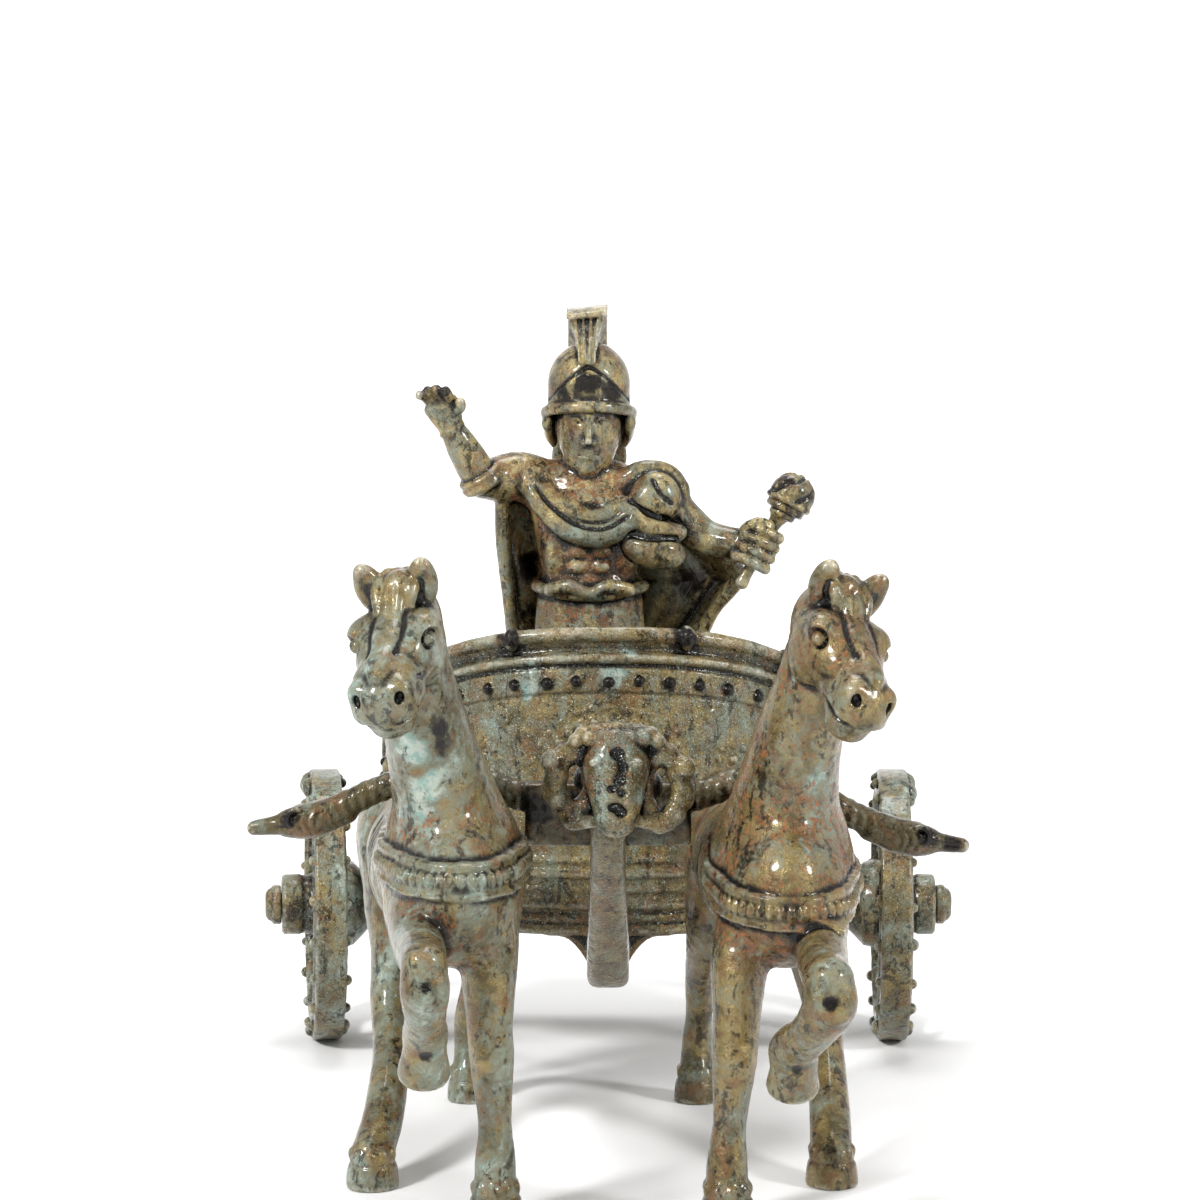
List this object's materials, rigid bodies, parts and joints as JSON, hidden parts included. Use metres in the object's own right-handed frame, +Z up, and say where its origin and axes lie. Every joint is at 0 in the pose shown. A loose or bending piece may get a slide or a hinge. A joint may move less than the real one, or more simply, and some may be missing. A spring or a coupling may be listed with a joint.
{
  "type": "bronze chariot sculpture",
  "caption": "Small cast bronze two-horse chariot with a helmeted driver, bird-headed yoke, ram's-head pole and turning wheels",
  "frame": {"origin": "middle of the whole object's length and width, on the surface it stands on", "axes": "+Z up, -Y the way the horses face, +X to the picture's right"},
  "size_m": [0.0848, 0.1105, 0.0894],
  "materials": {
    "car_bronze": "olive-brown patinated bronze with coppery dirt and pale green patches",
    "driver_bronze": "olive-brown patinated bronze, worn bright on the high spots",
    "yoke_bronze": "dark brown patinated bronze",
    "horse_left_bronze": "smooth green-brown patinated bronze with pale blue-green streaks",
    "horse_right_bronze": "smooth orange-brown patinated bronze with pale blue-green streaks",
    "wheel_bronze": "blue-green patinated bronze with dark brown patches",
    "pin_bronze": "green-brown patinated bronze"
  },
  "bodies": {
    "chariot": {"chariot_car_and_pole": "car_bronze", "driver": "driver_bronze", "yoke": "yoke_bronze", "horse_left": "horse_left_bronze", "horse_right": "horse_right_bronze", "wheel_pin_left": "pin_bronze", "wheel_pin_right": "pin_bronze"},
    "wheel_l": {"wheel_left": "wheel_bronze"},
    "wheel_r": {"wheel_right": "wheel_bronze"}
  },
  "joints": [
    {"name": "wheel_left_turn", "type": "hinge", "parent": "chariot", "child": "wheel_l", "pos_m": [-0.0348, 0.03863, 0.0165], "axis": [-0.9874, -0.1583, 0], "continuous": true},
    {"name": "wheel_right_turn", "type": "hinge", "parent": "chariot", "child": "wheel_r", "pos_m": [0.0348, 0.03863, 0.0165], "axis": [0.9976, -0.0699, 0], "continuous": true}
  ]
}
